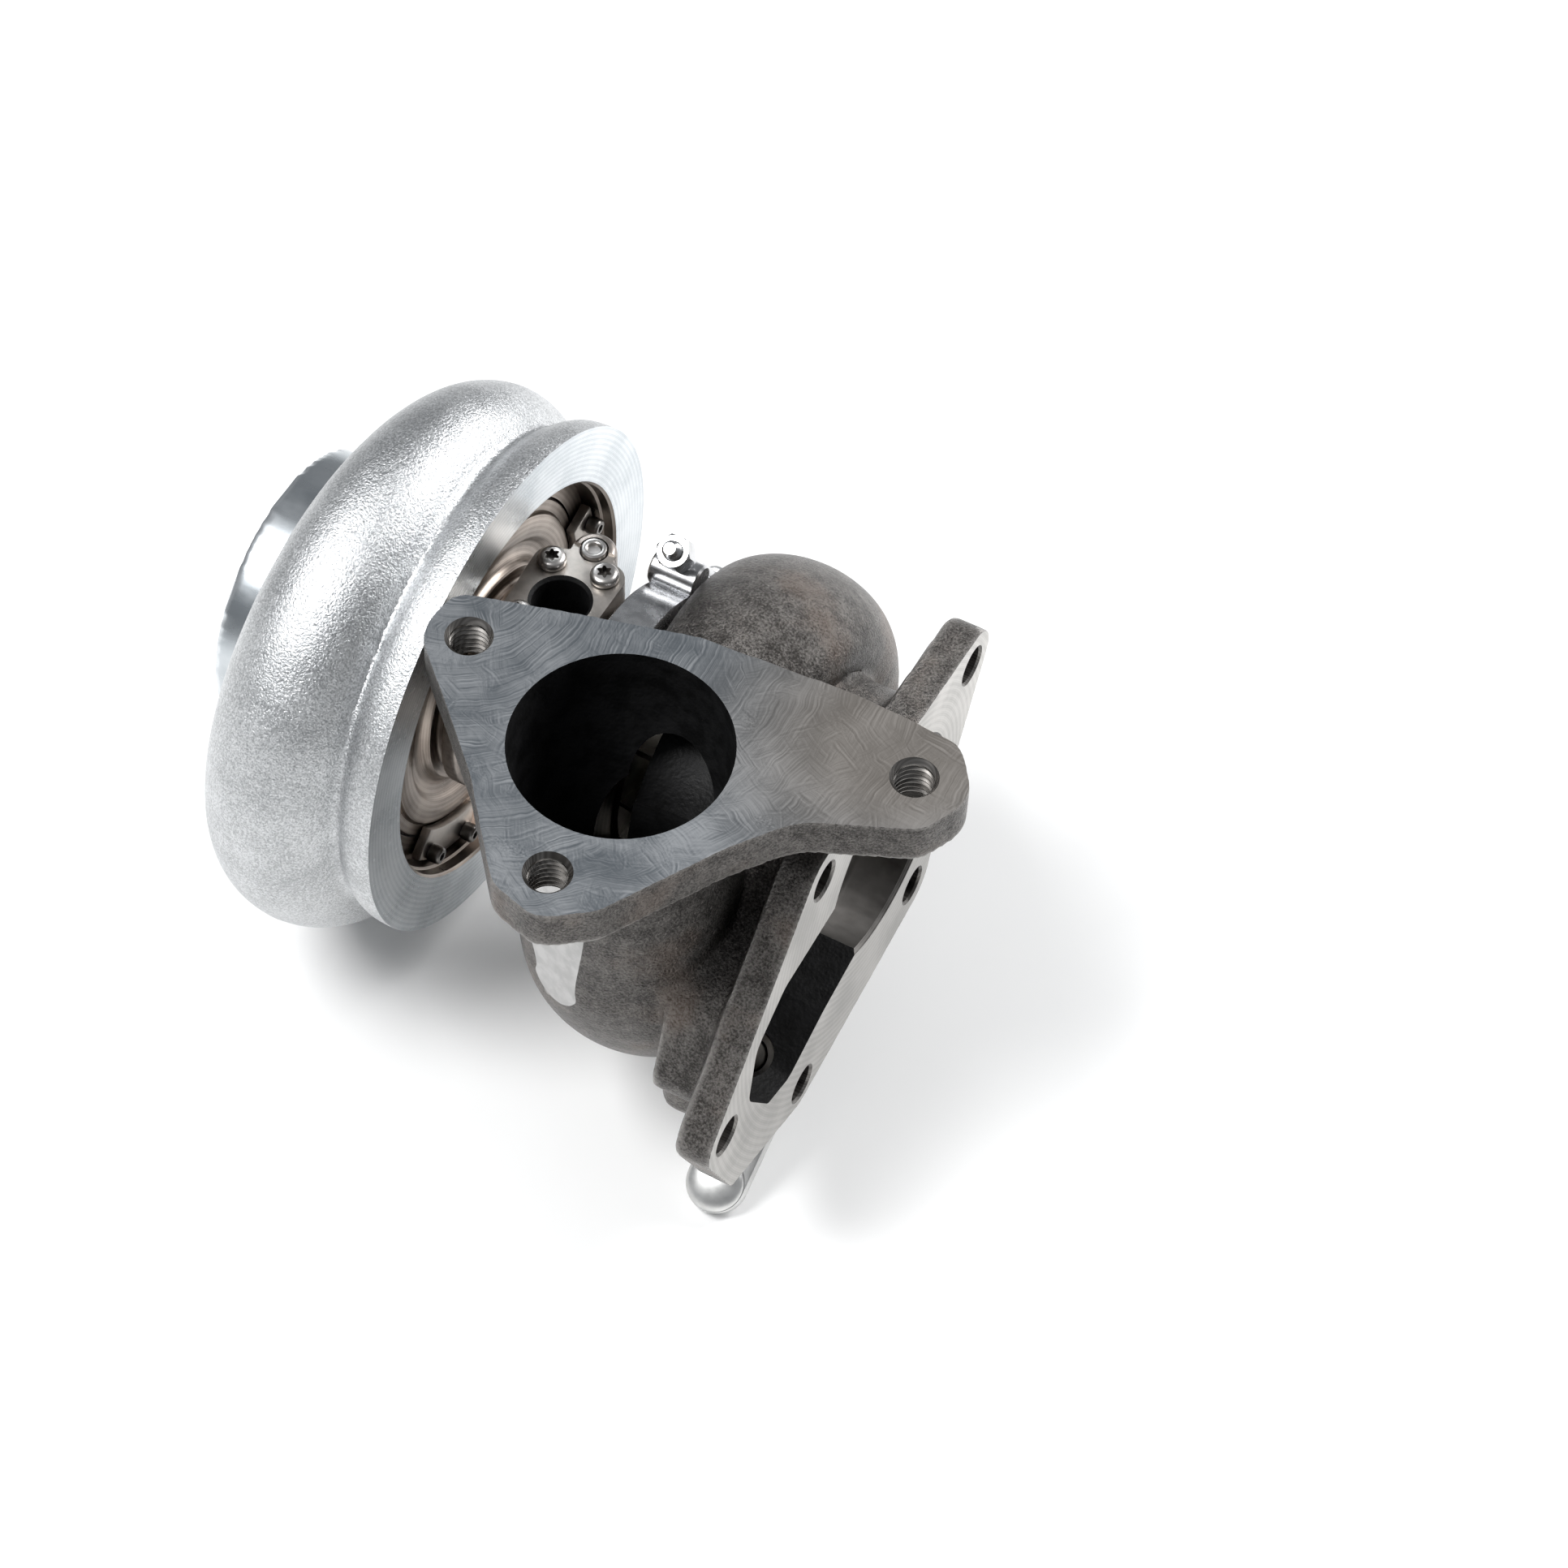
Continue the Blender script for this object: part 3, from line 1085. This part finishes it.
t_bolt = turned("clamp_t_bolt_threaded", [
    (-19.0, 0), (-19.0, 3.0), (-18.7, 3.6), (-18.2, 3.9), (-16.8, 3.9), (-16.3, 3.6),
    (-16.1, 3.0), (-16.1, 2.2), (2.0, 2.2)] + thread(2.2, 24.6, 2.2, 0.32, 0.8) + [(25.0, 1.9),
    (25.6, 1.4), (25.6, 0)],
    CHROME, centre=bolt_line, axis=ACROSS, steps=40)
dress(t_bolt, "housings", "clamp_t_bolt", slot="bright_steel")
clamp_nut = hex_nut("clamp_nut_plated", 8.6, 16.0, 22.5, 2.35, CHROME, centre=bolt_line,
                    axis=ACROSS)
dress(clamp_nut, "housings", "clamp_nut", slot="bright_steel")

# %% [markdown]
# The wastegate is a small valve in the outlet pocket. A spindle goes through the
# housing wall in a bush, with the valve's arm on the inside and a lever outside. The
# domed pin at the lever's end is where the actuator's rod hooks on.

# %% Wastegate
port = on_flange(-38, 14)
valve = turned("wastegate_valve_disc", [
    (52.3, 0), (52.3, 10.7), (52.6, 11.3), (53.1, 11.7), (54.4, 11.8), (55.0, 11.5),
    (55.4, 10.8), (55.6, 9.0), (55.6, 4.0), (55.6, 2.7), (61.6, 2.7), (61.9, 2.4), (61.9, 0)],
    NICKEL, centre=port, steps=64)
dress(valve, "wastegate", "wastegate_valve", slot="nickel_alloy")
washer = turned("valve_washer_round", [(59.9, 3.0), (59.9, 4.8), (60.1, 5.0), (61.0, 5.0),
                                       (61.2, 4.8),
                                       (61.2, 3.0)], STEEL, centre=port, steps=48)
dress(washer, "wastegate", "valve_washer", slot="bright_steel")
arm_outline = band_round([(-38, 14, 6.0), (SPINDLE[1] + 0.5, 14, 5.0)])
arm = cast("wastegate_arm_forged", [
    turned("arm_spindle", [(-32.1, 0), (-32.1, 3.5), (-31.7, 3.9), (19.1, 3.9), (19.4, 3.5),
                           (19.4, 0)],
           centre=spindle_point, axis=ACROSS, steps=48),
    plate("arm_plate", arm_outline, (56.0, 0, 0), ALONG, ACROSS, (3.5, 0, 0)),
], NICKEL, grain=0.45, smoothing=3)
machine(arm, rod("arm_eye", 40, 80, 3.0, NICKEL, centre=port, steps=40))
dress(arm, "wastegate", "wastegate_arm", slot="nickel_alloy")
bush = turned("spindle_bush_turned", [(-27, 4.3), (-27, 5.7), (-26.7, 6.0), (-8.3, 6.0),
                                      (-8, 5.7), (-8, 4.3)],
              STEEL, centre=spindle_point, axis=ACROSS, steps=48)
dress(bush, "housings", "spindle_bush", slot="bright_steel")

LEVER_END = (57.9, -87.3)
LEVER_V = -29.5
lever_tip = on_flange(LEVER_END[1], 0, LEVER_END[0])
lever = plate("wastegate_lever_pressed", band_round([(*SPINDLE, 8.0), (*LEVER_END, 7.3)]),
              on_flange(0, LEVER_V + 2.1), X, ALONG, ACROSS * -4.2, SATIN, edge=0.6)
machine(lever,
        rod("lever_bore", -60, 40, 4.3, STEEL, centre=spindle_point, axis=ACROSS, steps=48),
        rod("lever_pin_bore", -60, 40, 3.1, STEEL, centre=lever_tip, axis=ACROSS, steps=40))
dress(lever, "wastegate", "wastegate_lever", slot="bright_steel")
dome = []
for k in range(10):
    t = k / 9 * math.pi / 2
    dome.append((LEVER_V + 2.4 + 2.5 * math.sin(t), 7.0 * math.cos(t)))
pin = turned("lever_pin_domed", [
    (LEVER_V - 4.6, 0), (LEVER_V - 4.6, 2.4), (LEVER_V - 4.2, 2.7), (LEVER_V - 3.6, 2.7),
    (LEVER_V - 3.6, 1.9), (LEVER_V - 2.6, 1.9), (LEVER_V - 2.6, 2.8),
    (LEVER_V + 2.4, 2.8)] + dome[:-1] + [(LEVER_V + 4.9, 0)],
    SATIN, centre=lever_tip, axis=ACROSS, steps=64)
dress(pin, "wastegate", "lever_pin", slot="bright_steel")

# %% [markdown]
# The parts that stay inside, or that are small and already the right shape, keep
# their CAD solids and only take a finish.

# %% Finishes for the CAD solids that stay
keeps = {
    "seal_insert": WHEEL, "compressor_piston_ring": DARK_STEEL, "thrust_collar": STEEL,
    "thrust_washer": STEEL, "thrust_bearing": BRONZE, "turbine_piston_ring": DARK_STEEL,
    "heat_shield": NICKEL, "journal_bearing_compressor": BRONZE, "journal_bearing_turbine": BRONZE,
    "bearing_spacer": STEEL, "lever_pin_clip": DARK_STEEL,
}
for name, finish in keeps.items():
    for slot in nodes[name].material_slots:
        slot.material = finish
print("finished", len(keeps), "CAD solids")

# %% [markdown]
# The picture is taken on a pale bench under large soft lamps. Bare metal shows what
# stands round it more than its own colour, so the lamps are placed to lay one broad
# highlight on the ring and to leave darker gaps between them.

# %% Bench, lamps and camera
def lamp(name, place, size, watts):
    """A square soft lamp aimed at the turbocharger."""
    clear()
    bpy.ops.object.light_add(type="AREA", location=place)
    light = bpy.context.active_object
    light.name = name
    light.data.size = size
    light.data.energy = watts
    aim = Vector((0, 0, 0.06)) - Vector(place)
    light.rotation_euler = aim.to_track_quat("-Z", "Y").to_euler()


LAMP_SIZE = 0.5
LAMP_WATTS = 13
lamp("overhead_lamp", (-0.40, -0.40, 1.0), LAMP_SIZE, LAMP_WATTS)
lamp("back_lamp", (0.50, 0.80, 0.75), LAMP_SIZE, LAMP_WATTS)
world_light = bpy.data.worlds.new("studio")
world_light.use_nodes = True
world_light.node_tree.nodes["Background"].inputs["Color"].default_value = (0.93, 0.96, 1.0, 1)
world_light.node_tree.nodes["Background"].inputs["Strength"].default_value = 0.3
bpy.context.scene.world = world_light
bpy.context.scene.view_settings.view_transform = "Standard"

clear()
bpy.ops.mesh.primitive_plane_add(size=6.0, location=(0, 0, 0))
bench = settle("bench")
bench_top = Finish("pale bench", (0.86, 0.86, 0.855), 0.0, 0.55)
paper = bench_top.noise(30.0, detail=4.0)
bench_top.set("Base Color", bench_top.blend(paper, (0.93, 0.93, 0.925), (0.96, 0.96, 0.955)))
bench.data.materials.append(bench_top.material)

clear()
bpy.ops.object.camera_add(location=(0.2757, -0.4870, 0.8305),
                          rotation=[math.radians(a) for a in (36.31, -1.78, 27.85)])
camera = bpy.context.active_object
camera.data.sensor_width = 36.0
camera.data.lens = 93.17
bpy.context.scene.camera = camera
